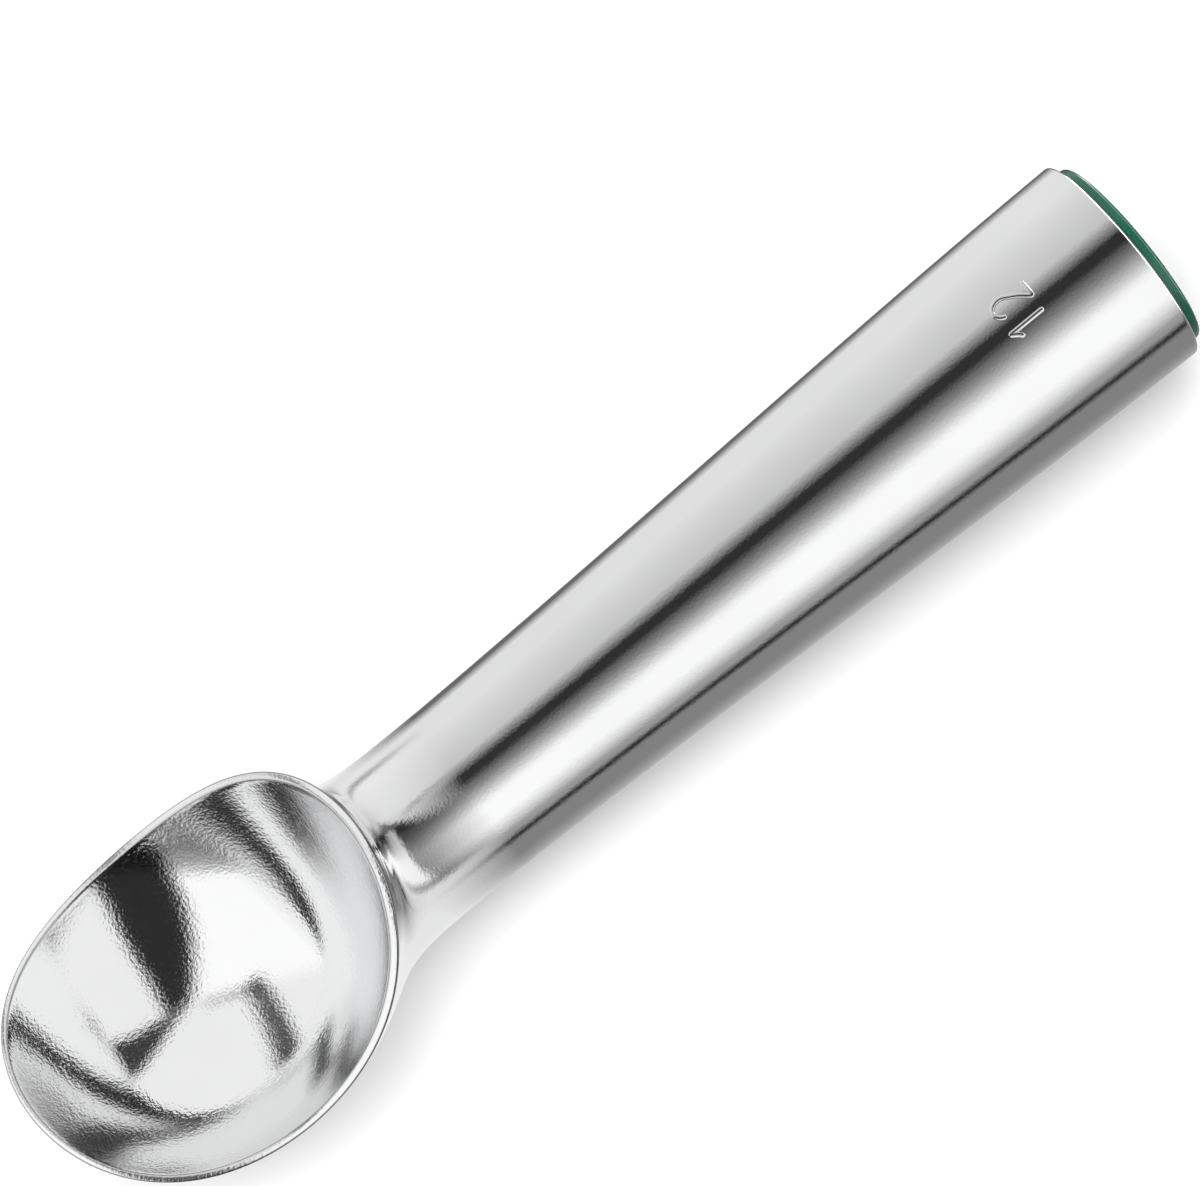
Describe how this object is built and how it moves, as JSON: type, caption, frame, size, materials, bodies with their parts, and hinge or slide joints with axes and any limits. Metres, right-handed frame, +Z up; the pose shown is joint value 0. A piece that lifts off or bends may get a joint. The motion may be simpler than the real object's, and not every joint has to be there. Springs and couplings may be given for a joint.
{
  "type": "ice cream scoop",
  "caption": "Cast ice cream scoop: an oval bowl with a curved rim, a rounded neck and a hollow, liquid-filled tapered handle closed by a plastic end cap.",
  "frame": {"origin": "middle of the footprint, on the floor that the scoop lies on with its bowl's mouth up", "axes": "+X level from the bowl to the capped end, the handle's axis rising about 1.3 degrees towards the cap; +Z up out of the bowl's mouth; +Y to complete a right-handed frame"},
  "size_m": [0.1797, 0.0464, 0.0308],
  "materials": {
    "casting": "polished",
    "liquid": "gloss",
    "plug": "satin",
    "seal": "matte",
    "cap": "gloss"
  },
  "bodies": {
    "root": {"scoop_body": "casting", "heat_fluid": "liquid", "seal_plug": "plug", "inner_o_ring": "seal", "outer_o_ring": "seal", "end_cap": "cap"}
  },
  "joints": []
}
